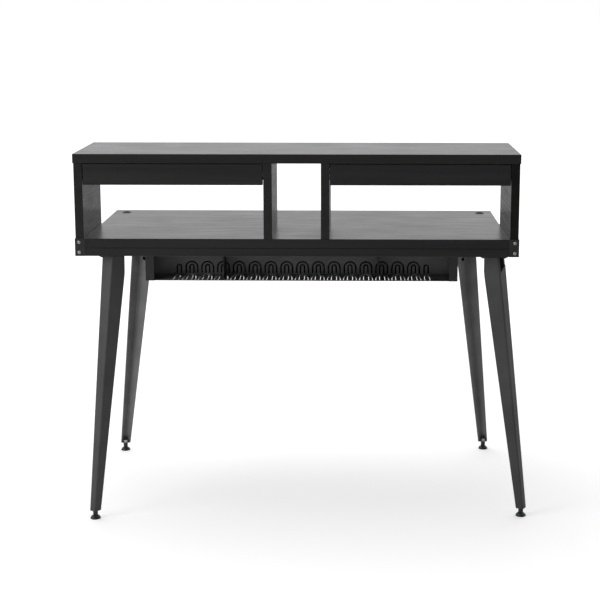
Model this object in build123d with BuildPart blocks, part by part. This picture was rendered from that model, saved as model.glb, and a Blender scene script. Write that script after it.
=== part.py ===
"""Writing desk with a low hutch, two hanging drawers, four folded sheet-steel legs
and a slotted cable tray.  Millimetres, +Z up, +Y to the back, origin on the floor
under the middle of the footprint.  Sizes below count from under the desktop's middle;
save() moves every piece by the same small step to the footprint's middle."""

import math
import os

from build123d import *

# ---------------------------------------------------------------- overall sizes
desk_width = 1150.0
desk_depth = 500.0
desk_height = 744.0
hutch_height = 220.0
shelf_depth = 300.0
hutch_depth = 255.0

# ---------------------------------------------------------------- boards
top_thick = 24.0
board_thick = 22.0
edge_round = 0.8
subrail_round = 1.6
end_rail_width = 26.0
shelf_overhang = 2.0
front_setback = 1.0
middle_bay_width = 126.0
front_subrail_depth = 90.0
back_subrail_depth = 76.0

# ---------------------------------------------------------------- fasteners
dowel_diameter = 8.0
dowel_length = 28.0
wood_screw_shank = 4.0
wood_screw_head = 8.0
wood_screw_head_height = 2.5
wood_screw_bite = 30.0
short_screw_bite = 12.0
corner_plate_thick = 2.0
corner_screw_head = 9.0
corner_screw_head_height = 2.4
corner_screw_length = 22.0
corner_screw_spread = 26.6
recess_width = 1.2
recess_depth = 1.2
recess_share = 0.6
screw_sink_spare = 0.5
screw_well_diameter = 9.0
through_cut = 72.0
dowel_setbacks = (50.0, 200.0)
divider_screw_setbacks = (120.0, 215.0)
panel_screw_setbacks = (40.0, 225.0)
rail_screw_setbacks = (75.0, 180.0)
subrail_screw_inset = 149.0
front_subrail_screw_setback = 45.0
back_subrail_screw_setback = 30.0
corner_screw_shift = 2.0
corner_rib_width = 10.0
corner_rib_height = 6.0

# ---------------------------------------------------------------- drawers
drawer_front_height = 54.5
drawer_front_thick = 16.0
drawer_gap = 1.6
drawer_setback = 2.0
front_screw_inset = 60.0
front_screw_bite = 10.0
box_wall = 12.0
box_height = 44.0
box_depth = 215.0
box_bottom_thick = 4.0
box_top_gap = 8.0
slide_space = 12.5
slide_sheet = 1.5
slide_height = 30.0
slide_lip = 10.0
slide_length = 200.0
slide_running_gap = 0.4
slide_rail_depth = 8.5
slide_setback = 4.0
slide_screw_inset = 30.0
slide_screw_shank = 3.0
slide_screw_head = 6.0
slide_screw_head_height = 1.2
slide_screw_bite = 12.0

# ---------------------------------------------------------------- legs
leg_sheet = 3.0
leg_plate_thick = 3.0
leg_fold_half_angle = 50.0
leg_inner_top = 44.5
leg_outer_top = 34.5
leg_inner_foot = 19.5
leg_outer_foot = 18.0
leg_straight_top = 55.0
leg_foot_height = 22.0
leg_gusset_height = 48.0
leg_screw_shank = 4.5
leg_screw_head = 9.0
leg_screw_head_height = 2.5
leg_screw_bite = 16.0
leg_screw_inset = 8.0
leg_hole_diameter = 8.0
leg_hole_inset = 107.0
leg_hole_drop = 94.0
relief_drop = 48.0
relief_rise = 24.0
relief_top = 40.0
relief_reach = 45.0
relief_spare = 0.15
nut_side_gap = 1.5
foot_diameter = 28.0
foot_disc_height = 8.0
foot_dome_radius = 4.4
foot_sole_radius = 1.0
foot_neck_diameter = 13.0
foot_stem_diameter = 8.0
foot_stem_clearance = 0.05
nut_wall = 2.2
nut_height = 6.5
stem_show = 9.0

# Each leg by distances in from the desk's end and from its front or back edge, so a minus
# stands outside the edge: the apex of the fold at the top, the foot axis on the floor and
# the mounting plate's sides.  The turn is the fold's compass turn in degrees from straight
# out, positive towards +X.  A relief is a notch in the outer flange under the rail.
leg_table = {
    "front_left": {
        "apex": (94.0, 24.0), "foot": (40.5, -46.0), "turn": 8.0,
        "plate": (60.0, 126.0, 8.0, 78.0), "relief": False,
    },
    "front_right": {
        "apex": (49.5, 32.0), "foot": (-20.0, -9.0), "turn": 18.0,
        "plate": (28.0, 98.0, 8.0, 78.0), "relief": True,
    },
    "back_left": {
        "apex": (103.5, 21.0), "foot": (28.5, -21.0), "turn": -9.0,
        "plate": (76.0, 132.0, 3.0, 73.0), "relief": True,
    },
    "back_right": {
        "apex": (104.5, 21.0), "foot": (28.5, -51.0), "turn": -7.0,
        "plate": (76.0, 132.0, 3.0, 73.0), "relief": False,
    },
}

# ---------------------------------------------------------------- cable tray
tray_sheet = 1.5
tray_half_length = 443.0
tray_drop = 131.0
tray_floor_depth = 93.0
tray_wall_height = 125.0
tray_wall_screw_rise = 100.0
tray_wall_screw_inset = 40.0
tray_screw_setback = 25.0
tray_screw_shank = 3.5
tray_screw_head = 7.0
tray_screw_head_height = 2.0
tray_screw_bite = 12.0
apron_thick = 18.0
apron_end_gap = 3.0
apron_screw_inset = 110.0
apron_screw_grip = 36.0
bracket_sheet = 2.0
bracket_flange = 22.0
hanger_spacing = 440.0
arch_pitch = 46.0
arch_count = 15
arch_outer_width = 38.0
arch_inner_width = 16.0
arch_inner_drop = 9.0
arch_end_pitch = 36.8
wall_arch_height = 36.0
wall_arch_line = 4.4
wall_arch_stretch = 1.0
wall_arch_rise = 4.0
floor_arch_height = 82.0
floor_arch_line = 1.4
floor_arch_stretch = 3.6
floor_arch_margin = 5.0
cable_hole_diameter = 22.0
cable_hole_end_inset = 62.0
cable_hole_back_inset = 45.0
grommet_rim = 2.0
grommet_wall = 2.0
grommet_flange_height = 1.5
grommet_lip_radius = 0.75

# ---------------------------------------------------------------- derived places
front_y = -desk_depth / 2
back_y = desk_depth / 2
total_height = desk_height + hutch_height
desktop_low = desk_height - top_thick
underside = desktop_low - board_thick
shelf_low = total_height - top_thick
desktop_half = desk_width / 2 - end_rail_width
panel_outer = desk_width / 2 - shelf_overhang
panel_inner = panel_outer - board_thick
divider_inner = middle_bay_width / 2
divider_outer = divider_inner + board_thick
hutch_front = front_y + front_setback
hutch_back = front_y + hutch_depth
tray_floor_height = underside - tray_drop
apron_front = back_y - back_subrail_depth
tray_wall_front = apron_front - tray_sheet
tray_front = tray_wall_front - tray_floor_depth
tray_wall_screw_height = tray_floor_height + tray_wall_screw_rise
apron_half_length = tray_half_length - apron_end_gap
cable_hole_x = desk_width / 2 - cable_hole_end_inset
cable_hole_y = back_y - cable_hole_back_inset
leg_hole_x = desk_width / 2 - leg_hole_inset
leg_hole_height = underside - leg_hole_drop
relief_low = underside - relief_drop
leg_top = underside - leg_plate_thick
leg_break = underside - leg_straight_top
nut_corner = foot_stem_diameter / 2 + nut_wall
foot_axis_inset = (nut_corner + leg_sheet + nut_side_gap) / math.sin(math.radians(leg_fold_half_angle))


def desk_place(name, end_inset, edge_inset):
    """A point given by its distances in from the desk's end and edge nearest to this leg."""
    side = -1 if name.endswith("left") else 1
    way = -1 if name.startswith("front") else 1
    return side * (desk_width / 2 - end_inset), way * (desk_depth / 2 - edge_inset)


def placed_leg(name, entry):
    """The leg's entry with its places worked out in the desk's own coordinates."""
    inner, outer, near, far = entry["plate"]
    xs, ys = zip(desk_place(name, inner, near), desk_place(name, outer, far))
    return {
        "apex": desk_place(name, *entry["apex"]),
        "foot": desk_place(name, *entry["foot"]),
        "plate": (min(xs), max(xs), min(ys), max(ys)),
        "turn": entry["turn"],
        "relief": entry["relief"],
        "out": -1 if name.startswith("front") else 1,
        "inner": 1 if name.endswith("left") else -1,
    }


legs = {name: placed_leg(name, entry) for name, entry in leg_table.items()}
foot_xs = [leg["foot"][0] for leg in legs.values()]
foot_ys = [leg["foot"][1] for leg in legs.values()]
reach_left = min(-desk_width / 2, min(foot_xs) - foot_diameter / 2)
reach_right = max(desk_width / 2, max(foot_xs) + foot_diameter / 2)
footprint_x = (reach_left + reach_right) / 2
footprint_y = (min(foot_ys) + max(foot_ys)) / 2

os.makedirs("parts", exist_ok=True)


def block(x0, x1, y0, y1, z0, z1, rounding=0.0):
    """A plain board between two corners, its edges eased by the rounding radius."""
    with BuildPart() as piece:
        with Locations(((x0 + x1) / 2, (y0 + y1) / 2, (z0 + z1) / 2)):
            Box(x1 - x0, y1 - y0, z1 - z0)
        if rounding > 0:
            fillet(piece.edges(), radius=rounding)
    return piece.part


def drilled(board, places, diameter, depth, turn):
    """The board with blind round holes that start at each place and run along turn."""
    with BuildPart() as piece:
        add(board)
        for place in places:
            with Locations(Location(place, turn)):
                Cylinder(
                    diameter / 2, depth, align=(Align.CENTER, Align.CENTER, Align.MIN), mode=Mode.SUBTRACT
                )
    return piece.part


def screws(places, turn, shank, length, head, head_height):
    """Pan-head screws with a crossed recess; each place is where the head seats."""
    with BuildPart() as group:
        for place in places:
            with Locations(Location(place, turn)):
                Cylinder(shank / 2, length, align=(Align.CENTER, Align.CENTER, Align.MIN))
                Cylinder(head / 2, head_height, align=(Align.CENTER, Align.CENTER, Align.MAX))
            with Locations(Location(place, turn) * Location((0, 0, -head_height))):
                Box(
                    head * recess_share, recess_width, recess_depth,
                    align=(Align.CENTER, Align.CENTER, Align.MIN), mode=Mode.SUBTRACT,
                )
                Box(
                    recess_width, head * recess_share, recess_depth,
                    align=(Align.CENTER, Align.CENTER, Align.MIN), mode=Mode.SUBTRACT,
                )
    return group.part


def save(part, name):
    """Moves the part so the footprint's middle is the origin, labels it, writes its STEP file."""
    centred = part.moved(Location((-footprint_x, -footprint_y, 0)))
    centred.label = name
    export_step(centred, f"parts/{name}.step")


def spread(reach):
    """Four places in X, evenly spaced from -reach to reach."""
    return [-reach, -reach / 3, reach / 3, reach]


up_turn = (0, 0, 0)
to_back_turn = (-90, 0, 0)
to_front_turn = (90, 0, 0)
to_right_turn = (0, 90, 0)
to_left_turn = (0, -90, 0)

# ---------------------------------------------------------------- fastener places
dowel_rows = [front_y + setback for setback in dowel_setbacks]
divider_screw_rows = [front_y + setback for setback in divider_screw_setbacks]
panel_screw_rows = [front_y + setback for setback in panel_screw_setbacks]
rail_screw_rows = [front_y + setback for setback in rail_screw_setbacks]
panel_middle = (panel_inner + panel_outer) / 2
divider_middle = (divider_inner + divider_outer) / 2
dowel_low = shelf_low - dowel_length / 2
dowel_xs = (-panel_middle, -divider_middle, divider_middle, panel_middle)
dowel_places = [(x, y, dowel_low) for x in dowel_xs for y in dowel_rows]
divider_screw_places = [
    (side * divider_middle, y, desktop_low) for side in (-1, 1) for y in divider_screw_rows
]
divider_screw_length = top_thick + wood_screw_bite
panel_screw_places = [
    (side * panel_middle, y, underside) for side in (-1, 1) for y in panel_screw_rows
]
rail_height = desk_height - underside
panel_screw_length = rail_height + wood_screw_bite
rail_screw_height = desk_height - top_thick / 2
rail_screw_sink = wood_screw_head_height + screw_sink_spare
rail_screw_length = end_rail_width - rail_screw_sink + wood_screw_bite
subrail_screw_reach = desktop_half - subrail_screw_inset
subrail_screw_xs = spread(subrail_screw_reach)
subrail_screw_places = [
    (x, front_y + front_subrail_screw_setback, underside) for x in subrail_screw_xs
]
subrail_screw_places += [
    (x, back_y - back_subrail_screw_setback, underside) for x in subrail_screw_xs
]
subrail_screw_length = board_thick + short_screw_bite
corner_screw_x = desk_width / 2 - end_rail_width / 2 + corner_screw_shift
corner_middle = (desk_height + underside) / 2
corner_heights = (corner_middle - corner_screw_spread / 2, corner_middle + corner_screw_spread / 2)
apron_height = underside - tray_floor_height
apron_screw_xs = spread(apron_half_length - apron_screw_inset)
apron_screw_places = [(x, apron_front + apron_thick / 2, tray_floor_height) for x in apron_screw_xs]
tray_wall_screw_xs = spread(apron_half_length - tray_wall_screw_inset)

# ---------------------------------------------------------------- drawer places
bay_spans = {"left": (-panel_inner, -divider_outer), "right": (divider_outer, panel_inner)}
slide_walls = [(x, inward) for span in bay_spans.values() for x, inward in zip(span, (1, -1))]
away_turn = {1: to_left_turn, -1: to_right_turn}
front_face_y = front_y + drawer_setback
box_front_y = front_face_y + drawer_front_thick
box_top = shelf_low - box_top_gap
box_low = box_top - box_height
slide_middle = (box_top + box_low) / 2
slide_start = box_front_y + slide_setback
slide_screw_rows = (slide_start + slide_screw_inset, slide_start + slide_length - slide_screw_inset)


def make_top_shelf():
    """The long top board with blind holes for the dowels."""
    half = desk_width / 2
    board = block(-half, half, front_y, front_y + shelf_depth, shelf_low, total_height, edge_round)
    board = drilled(board, dowel_places, dowel_diameter, dowel_length, up_turn)
    save(board, "top_shelf")


def make_uprights():
    """Two end panels and two dividers that carry the top shelf."""
    spans = {
        "left_side_panel": (-panel_outer, -panel_inner),
        "right_side_panel": (panel_inner, panel_outer),
        "left_divider": (-divider_outer, -divider_inner),
        "right_divider": (divider_inner, divider_outer),
    }
    for name, (x0, x1) in spans.items():
        board = block(x0, x1, hutch_front, hutch_back, desk_height, shelf_low, edge_round)
        own_dowels = [place for place in dowel_places if x0 < place[0] < x1]
        board = drilled(board, own_dowels, dowel_diameter, dowel_length, up_turn)
        own_screws = [p for p in panel_screw_places + divider_screw_places if x0 < p[0] < x1]
        own_screws = [(x, y, desk_height) for x, y, z in own_screws]
        board = drilled(board, own_screws, wood_screw_shank, wood_screw_bite, up_turn)
        for wall, inward in slide_walls:
            if x0 <= wall <= x1:
                entries = [(wall, y, slide_middle) for y in slide_screw_rows]
                board = drilled(board, entries, slide_screw_shank, slide_screw_bite, away_turn[inward])
        save(board, name)


def make_desktop():
    """The desktop board with its cable holes and screw holes."""
    board = block(-desktop_half, desktop_half, front_y, back_y, desktop_low, desk_height, edge_round)
    board = drilled(board, divider_screw_places, wood_screw_shank, top_thick, up_turn)
    pilot = [(x, y, desktop_low) for x, y, z in subrail_screw_places]
    board = drilled(board, pilot, wood_screw_shank, short_screw_bite, up_turn)
    holes = [(side * cable_hole_x, cable_hole_y, desktop_low) for side in (-1, 1)]
    board = drilled(board, holes, cable_hole_diameter, top_thick, up_turn)
    for side, turn in ((-1, to_right_turn), (1, to_left_turn)):
        rows = [(side * desktop_half, y, rail_screw_height) for y in rail_screw_rows]
        board = drilled(board, rows, wood_screw_shank, wood_screw_bite, turn)
    board = drilled(board, tray_top_screw_places(), tray_screw_shank, tray_screw_bite, up_turn)
    save(board, "desktop")


def make_subrails():
    """The second board layer: one rail under the front edge, one under the back edge."""
    half = desktop_half
    front_edge = front_y + front_subrail_depth
    back_edge = back_y - back_subrail_depth
    front = block(-half, half, front_y, front_edge, underside, desktop_low, subrail_round)
    back = block(-half, half, back_edge, back_y, underside, desktop_low, subrail_round)
    front_places = [p for p in subrail_screw_places if p[1] < 0]
    back_places = [p for p in subrail_screw_places if p[1] > 0]
    front = drilled(front, front_places, wood_screw_shank, board_thick, up_turn)
    back = drilled(back, back_places, wood_screw_shank, board_thick, up_turn)
    holes = [(side * cable_hole_x, cable_hole_y, underside) for side in (-1, 1)]
    back = drilled(back, holes, cable_hole_diameter, board_thick, up_turn)
    front_legs = [p for p in leg_screw_places() if p[1] < 0]
    back_legs = [p for p in leg_screw_places() if p[1] > 0]
    reach = leg_plate_thick + leg_screw_bite
    front = drilled(front, front_legs, leg_screw_shank, reach, up_turn)
    back = drilled(back, back_legs, leg_screw_shank, reach, up_turn)
    apron_places = [(x, y, underside) for x, y, z in apron_screw_places]
    back = drilled(back, apron_places, wood_screw_shank, short_screw_bite, up_turn)
    save(front, "front_subrail")
    save(back, "back_subrail")


def make_end_rails():
    """The short rails that close the desktop's ends and carry the end panels."""
    for name, side in (("left_end_rail", -1), ("right_end_rail", 1)):
        x0, x1 = sorted((side * desk_width / 2, side * desktop_half))
        start = front_y + corner_plate_thick
        rail = block(x0, x1, start, hutch_back, underside, desk_height, edge_round)
        verticals = [p for p in panel_screw_places if x0 < p[0] < x1]
        rail = drilled(rail, verticals, wood_screw_shank, rail_height, up_turn)
        turn = to_right_turn if side < 0 else to_left_turn
        rows = [(side * desk_width / 2, y, rail_screw_height) for y in rail_screw_rows]
        rail = drilled(rail, rows, wood_screw_shank, end_rail_width, turn)
        rail = drilled(rail, rows, screw_well_diameter, rail_screw_sink, turn)
        fronts = [(side * corner_screw_x, start, z) for z in corner_heights]
        bite = corner_screw_length - corner_plate_thick
        rail = drilled(rail, fronts, wood_screw_shank, bite, to_back_turn)
        save(rail, name)


def make_corner_plates():
    """Black steel cover plates on the rail fronts, with a pressed rib between the screws."""
    for name, side in (("left_corner_plate", -1), ("right_corner_plate", 1)):
        x0, x1 = sorted((side * desk_width / 2, side * desktop_half))
        start = front_y + corner_plate_thick
        plate = block(x0, x1, front_y, start, underside, desk_height, edge_round / 2)
        fronts = [(side * corner_screw_x, front_y, z) for z in corner_heights]
        plate = drilled(plate, fronts, wood_screw_shank, corner_plate_thick, to_back_turn)
        with BuildPart() as ribbed:
            add(plate)
            with BuildSketch(Plane((side * corner_screw_x, front_y, corner_middle), z_dir=(0, -1, 0))):
                Ellipse(corner_rib_width / 2, corner_rib_height / 2)
            extrude(amount=-corner_plate_thick / 2, mode=Mode.SUBTRACT)
        save(ribbed.part, name)


def make_board_fasteners():
    """Dowels and screws that hold the boards together."""
    with BuildPart() as dowels:
        for place in dowel_places:
            with Locations(place):
                Cylinder(
                    dowel_diameter / 2, dowel_length, align=(Align.CENTER, Align.CENTER, Align.MIN)
                )
    save(dowels.part, "shelf_dowels")
    head = (wood_screw_head, wood_screw_head_height)
    save(screws(divider_screw_places, up_turn, wood_screw_shank, divider_screw_length, *head),
         "divider_screws")
    save(screws(panel_screw_places, up_turn, wood_screw_shank, panel_screw_length, *head),
         "side_panel_screws")
    save(screws(subrail_screw_places, up_turn, wood_screw_shank, subrail_screw_length, *head),
         "subrail_screws")
    seat_x = desk_width / 2 - rail_screw_sink
    left = [(-seat_x, y, rail_screw_height) for y in rail_screw_rows]
    right = [(seat_x, y, rail_screw_height) for y in rail_screw_rows]
    with BuildPart() as rail_screws:
        add(screws(left, to_right_turn, wood_screw_shank, rail_screw_length, *head))
        add(screws(right, to_left_turn, wood_screw_shank, rail_screw_length, *head))
    save(rail_screws.part, "end_rail_screws")
    fronts = [(side * corner_screw_x, front_y, z) for side in (-1, 1) for z in corner_heights]
    save(screws(fronts, to_back_turn, wood_screw_shank, corner_screw_length,
                corner_screw_head, corner_screw_head_height), "corner_screws")


def leg_screw_places():
    """The screws near the corners of each leg's mounting plate, seated under it."""
    places = []
    for leg in legs.values():
        x0, x1, y0, y1 = leg["plate"]
        for x in (x0 + leg_screw_inset, x1 - leg_screw_inset):
            for y in (y0 + leg_screw_inset, y1 - leg_screw_inset):
                places.append((x, y, leg_top))
    return places


def fold_axes(leg):
    """Unit vectors: out of the fold, along the inner flange and along the outer flange."""
    turn = math.radians(leg["turn"])
    out = (math.sin(turn), leg["out"] * math.cos(turn))
    half = math.radians(leg_fold_half_angle)

    def swing(sign):
        bx, by = -out[0], -out[1]
        cos, sin = math.cos(half), math.sin(half) * sign
        return (bx * cos - by * sin, bx * sin + by * cos)

    first, second = swing(1), swing(-1)
    if (first[0] > second[0]) == (leg["inner"] > 0):
        return out, first, second
    return out, second, first


def leg_apex(leg, z):
    """The fold's outer edge at height z; it is a straight line from top to foot."""
    out = fold_axes(leg)[0]
    foot = (leg["foot"][0] + out[0] * foot_axis_inset, leg["foot"][1] + out[1] * foot_axis_inset)
    share = (leg_top - z) / (leg_top - leg_foot_height)
    top = leg["apex"]
    return (top[0] + (foot[0] - top[0]) * share, top[1] + (foot[1] - top[1]) * share)


def flange_widths(leg, z):
    """Inner and outer flange widths at height z; the inner edge is upright near the top."""
    share = (leg_break - z) / (leg_break - leg_foot_height)
    share = max(share, 0.0)
    inner = leg_inner_top + (leg_inner_foot - leg_inner_top) * share
    outer = leg_outer_top + (leg_outer_foot - leg_outer_top) * share
    if z > leg_break:
        rise = leg_apex(leg, leg_break)[0] - leg_apex(leg, z)[0]
        inner = leg_inner_top + rise / fold_axes(leg)[1][0]
        growth = (leg_outer_top - leg_outer_foot) / (leg_break - leg_foot_height)
        outer = leg_outer_top + growth * (z - leg_break)
    return inner, outer


def fold_corners(leg, z, sheet):
    """The six corners of the folded sheet's section at height z."""
    out, inner, outer = fold_axes(leg)
    ax, ay = leg_apex(leg, z)
    inner_width, outer_width = flange_widths(leg, z)
    depth = sheet / math.sin(math.radians(leg_fold_half_angle))
    inner_end = (ax + inner[0] * inner_width, ay + inner[1] * inner_width)
    outer_end = (ax + outer[0] * outer_width, ay + outer[1] * outer_width)

    def inward(axis):
        nx, ny = -axis[1], axis[0]
        sign = -1 if nx * out[0] + ny * out[1] > 0 else 1
        return (nx * sign * sheet, ny * sign * sheet)

    ni, no = inward(inner), inward(outer)
    return [
        (ax, ay),
        inner_end,
        (inner_end[0] + ni[0], inner_end[1] + ni[1]),
        (ax - out[0] * depth, ay - out[1] * depth),
        (outer_end[0] + no[0], outer_end[1] + no[1]),
        outer_end,
    ]


def make_legs():
    """Four folded legs, each with its mounting plate, closing gusset and foot plate."""
    for name, leg in legs.items():
        out, inner, outer = fold_axes(leg)
        with BuildPart() as body:
            for high, low in ((leg_top, leg_break), (leg_break, leg_foot_height)):
                with BuildSketch(Plane.XY.offset(high)):
                    with BuildLine():
                        Polyline(*fold_corners(leg, high, leg_sheet), close=True)
                    make_face()
                with BuildSketch(Plane.XY.offset(low)):
                    with BuildLine():
                        Polyline(*fold_corners(leg, low, leg_sheet), close=True)
                    make_face()
                loft(ruled=True)
            gusset_low = leg_top - leg_gusset_height
            for height in (leg_top, gusset_low):
                corners = fold_corners(leg, height, leg_sheet)
                inner_end, outer_end = corners[2], corners[4]
                ahead = (out[0] * leg_sheet, out[1] * leg_sheet)
                with BuildSketch(Plane.XY.offset(height)):
                    with BuildLine():
                        Polyline(
                            inner_end,
                            outer_end,
                            (outer_end[0] + ahead[0], outer_end[1] + ahead[1]),
                            (inner_end[0] + ahead[0], inner_end[1] + ahead[1]),
                            close=True,
                        )
                    make_face()
            loft(ruled=True)
            x0, x1, y0, y1 = leg["plate"]
            with Locations(((x0 + x1) / 2, (y0 + y1) / 2, leg_top)):
                Box(x1 - x0, y1 - y0, leg_plate_thick, align=(Align.CENTER, Align.CENTER, Align.MIN))
            corners = fold_corners(leg, leg_foot_height, leg_sheet / 2)
            with BuildSketch(Plane.XY.offset(leg_foot_height)):
                with BuildLine():
                    Polyline(corners[2], corners[3], corners[4], close=True)
                make_face()
                with Locations(leg["foot"]):
                    Circle(foot_neck_diameter / 2)
            extrude(amount=leg_plate_thick)
            with Locations((*leg["foot"], leg_foot_height)):
                Cylinder(
                    foot_stem_diameter / 2 + foot_stem_clearance, through_cut, mode=Mode.SUBTRACT
                )
            for place in leg_screw_places():
                if x0 < place[0] < x1 and y0 < place[1] < y1:
                    with Locations(place):
                        Cylinder(
                            leg_screw_shank / 2, leg_plate_thick,
                            align=(Align.CENTER, Align.CENTER, Align.MIN), mode=Mode.SUBTRACT,
                        )
            if leg["out"] > 0:
                with Locations(Location((-leg["inner"] * leg_hole_x, 0, leg_hole_height), to_back_turn)):
                    Cylinder(
                        leg_hole_diameter / 2, desk_depth,
                        align=(Align.CENTER, Align.CENTER, Align.MIN), mode=Mode.SUBTRACT,
                    )
            if leg["relief"]:
                ax, ay = leg_apex(leg, relief_low)
                side = Plane((ax, ay, relief_low), x_dir=(*outer, 0), z_dir=relief_normal(leg))
                tip = 1 if side.y_dir.Z > 0 else -1
                with BuildSketch(side):
                    with BuildLine():
                        Polyline(
                            (leg_sheet, 0), (relief_reach, tip * relief_rise),
                            (relief_reach, tip * relief_top), (leg_sheet, tip * relief_top),
                            close=True,
                        )
                    make_face()
                extrude(amount=-leg_sheet - relief_spare, mode=Mode.SUBTRACT)
        save(body.part, f"{name}_leg")


def relief_normal(leg):
    """Outward normal of the outer flange."""
    out, inner, outer = fold_axes(leg)
    normal = (-outer[1], outer[0])
    sign = 1 if normal[0] * out[0] + normal[1] * out[1] > 0 else -1
    return (normal[0] * sign, normal[1] * sign, 0)


def make_feet():
    """Levelling feet with a domed pad, a hexagonal neck and a stem; nuts on the foot plates."""
    neck_height = leg_foot_height - foot_disc_height
    stem_length = neck_height + leg_plate_thick + nut_height + stem_show
    for name, leg in legs.items():
        with BuildPart() as foot:
            with Locations((*leg["foot"], 0)):
                Cylinder(
                    foot_diameter / 2, foot_disc_height, align=(Align.CENTER, Align.CENTER, Align.MIN)
                )
            rim = foot.edges().filter_by(GeomType.CIRCLE).group_by(Axis.Z)[-1]
            fillet(rim, radius=foot_dome_radius)
            sole = foot.edges().filter_by(GeomType.CIRCLE).group_by(Axis.Z)[0]
            fillet(sole, radius=foot_sole_radius)
            with BuildSketch(Plane.XY.offset(foot_disc_height)):
                with Locations(leg["foot"]):
                    RegularPolygon(foot_neck_diameter / 2, 6)
            extrude(amount=neck_height)
            with Locations((*leg["foot"], foot_disc_height)):
                Cylinder(
                    foot_stem_diameter / 2, stem_length, align=(Align.CENTER, Align.CENTER, Align.MIN)
                )
        save(foot.part, f"{name}_foot")
    with BuildPart() as nuts:
        for leg in legs.values():
            with BuildSketch(Plane.XY.offset(leg_foot_height + leg_plate_thick)):
                with Locations(leg["foot"]):
                    RegularPolygon(nut_corner, 6)
                    Circle(foot_stem_diameter / 2 + foot_stem_clearance, mode=Mode.SUBTRACT)
            extrude(amount=nut_height)
    save(nuts.part, "leg_nuts")
    save(screws(leg_screw_places(), up_turn, leg_screw_shank, leg_plate_thick + leg_screw_bite,
                leg_screw_head, leg_screw_head_height), "leg_screws")


def tray_top_screw_places():
    """Screws that hold the end brackets and hangers to the desktop's underside."""
    flange_middle = bracket_flange / 2
    rows = (tray_front + tray_screw_setback, tray_wall_front - tray_screw_setback)
    brackets = [side * (tray_half_length - bracket_sheet - flange_middle) for side in (-1, 1)]
    hangers = [side * hanger_spacing / 2 + flange_middle for side in (-1, 1)]
    return [(x, y, desktop_low) for x in brackets + hangers for y in rows]


def make_apron():
    """The board behind the tray, fixed up into the back subrail."""
    board = block(-apron_half_length, apron_half_length, apron_front, apron_front + apron_thick,
                  tray_floor_height, underside, edge_round)
    board = drilled(board, apron_screw_places, wood_screw_shank, apron_height, up_turn)
    well_depth = apron_height - apron_screw_grip
    board = drilled(board, apron_screw_places, screw_well_diameter, well_depth, up_turn)
    places = [(x, apron_front, tray_wall_screw_height) for x in tray_wall_screw_xs]
    board = drilled(board, places, tray_screw_shank, tray_screw_bite, to_back_turn)
    save(board, "back_apron")
    seats = [(x, y, tray_floor_height + well_depth) for x, y, z in apron_screw_places]
    save(screws(seats, up_turn, wood_screw_shank, apron_screw_grip + short_screw_bite,
                wood_screw_head, wood_screw_head_height), "apron_screws")


def arch_lines(height, line, stretch):
    """Nested round-topped slots in a row, with a single narrow one at each end.  Line is the
    slot's width; stretch is how many times longer the round top is than half its width."""
    rows = ((arch_outer_width, height), (arch_inner_width, height - arch_inner_drop))
    for width, tall in rows:
        xs = [(i - (arch_count - 1) / 2) * arch_pitch for i in range(arch_count)]
        if width == arch_inner_width:
            end = xs[-1] + arch_end_pitch
            xs += [-end, end]
        straight = tall - stretch * width / 2
        for inset, mode in ((0.0, Mode.ADD), (line, Mode.SUBTRACT)):
            half = width / 2 - inset
            crown = stretch * width / 2 - inset
            with Locations(*[(x, 0) for x in xs]):
                Rectangle(half * 2, straight, align=(Align.CENTER, Align.MIN), mode=mode)
            with Locations(*[(x, straight) for x in xs]):
                Ellipse(half, crown, mode=mode)
    run = arch_pitch * (arch_count + 2)
    Rectangle(run, height, align=(Align.CENTER, Align.MAX), mode=Mode.SUBTRACT)


def make_tray():
    """The slotted tray: an upright wall on the apron and a floor folded forwards."""
    half = tray_half_length - bracket_sheet
    wall_corner = (0, tray_wall_front, tray_floor_height + wall_arch_rise)
    wall_plane = Plane(wall_corner, x_dir=(1, 0, 0), z_dir=(0, -1, 0))
    floor_plane = Plane.XY.offset(tray_floor_height)
    with BuildPart() as tray:
        with Locations((0, tray_wall_front, tray_floor_height)):
            Box(half * 2, tray_sheet, tray_wall_height,
                align=(Align.CENTER, Align.MIN, Align.MIN))
        with Locations((0, tray_front, tray_floor_height)):
            Box(half * 2, tray_floor_depth, tray_sheet, align=(Align.CENTER, Align.MIN, Align.MIN))
        with BuildSketch(wall_plane):
            arch_lines(wall_arch_height, wall_arch_line, wall_arch_stretch)
        extrude(amount=-tray_sheet, mode=Mode.SUBTRACT)
        with BuildSketch(floor_plane.move(Location((0, tray_front + floor_arch_margin, 0)))):
            arch_lines(floor_arch_height, floor_arch_line, floor_arch_stretch)
        extrude(amount=tray_sheet, mode=Mode.SUBTRACT)
        for x in tray_wall_screw_xs:
            with Locations(Location((x, tray_wall_front, tray_wall_screw_height), to_back_turn)):
                Cylinder(tray_screw_shank / 2, tray_sheet,
                         align=(Align.CENTER, Align.CENTER, Align.MIN), mode=Mode.SUBTRACT)
    save(tray.part, "cable_tray")


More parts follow.
